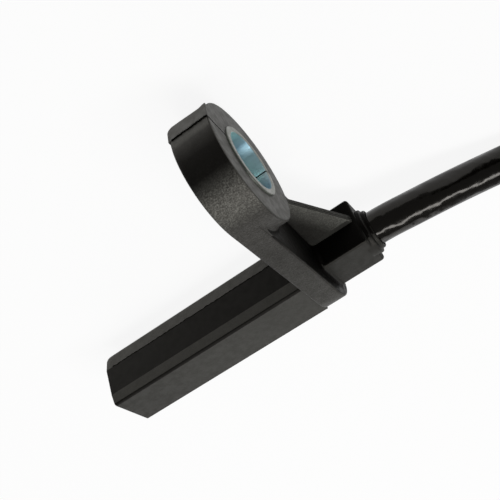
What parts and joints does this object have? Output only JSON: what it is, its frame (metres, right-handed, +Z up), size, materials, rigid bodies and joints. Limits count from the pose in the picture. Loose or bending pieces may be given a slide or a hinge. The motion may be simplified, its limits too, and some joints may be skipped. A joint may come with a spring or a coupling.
{
  "type": "wheel speed sensor",
  "caption": "Wheel speed sensor with a square bar nose, a flange with a steel-bushed bolt eye, a ribbed cord outlet and a coiled lead ending in a sealed plug.",
  "frame": {"origin": "middle of the sensor head's foot print, on the surface that it lies on", "axes": "+X along the nose towards the lead, +Y from the nose towards the bolt eye, +Z up"},
  "size_m": [0.1499, 0.0664, 0.0269],
  "materials": {
    "housing_plastic": "grained black moulding",
    "bushing_steel": "blue-green passivated steel",
    "cord_jacket": "smooth glossy black",
    "core_dark": "satin",
    "core_light": "satin",
    "copper": "bright stranded copper",
    "tinned_metal": "tinned",
    "carrier_plastic": "matte",
    "chip_epoxy": "smooth moulded",
    "magnet": "sintered grey",
    "capacitor": "ceramic",
    "plug_plastic": "matte black",
    "lock_plastic": "matte",
    "seal_rubber": "soft silicone"
  },
  "bodies": {
    "root": {"sensor_housing": "housing_plastic", "bolt_bushing": "bushing_steel", "chip_carrier": "carrier_plastic", "hall_chip": "chip_epoxy", "bias_magnet": "magnet", "filter_capacitor": "capacitor", "lead_strip_1": "tinned_metal", "lead_strip_2": "tinned_metal", "splice_sleeve_1": "tinned_metal", "splice_sleeve_2": "tinned_metal", "copper_strand_1": "copper", "copper_strand_2": "copper", "head_core_1": "core_dark", "head_core_2": "core_light", "cable_lead": "cord_jacket", "cable_coil": "cord_jacket", "coil_tie": "plug_plastic", "cable_tail": "cord_jacket", "plug_core_1": "core_dark", "plug_core_2": "core_light", "plug_housing": "plug_plastic", "plug_pin_1": "tinned_metal", "plug_pin_2": "tinned_metal", "pin_lock": "lock_plastic", "plug_seal": "seal_rubber", "seal_cap": "plug_plastic"}
  },
  "joints": []
}
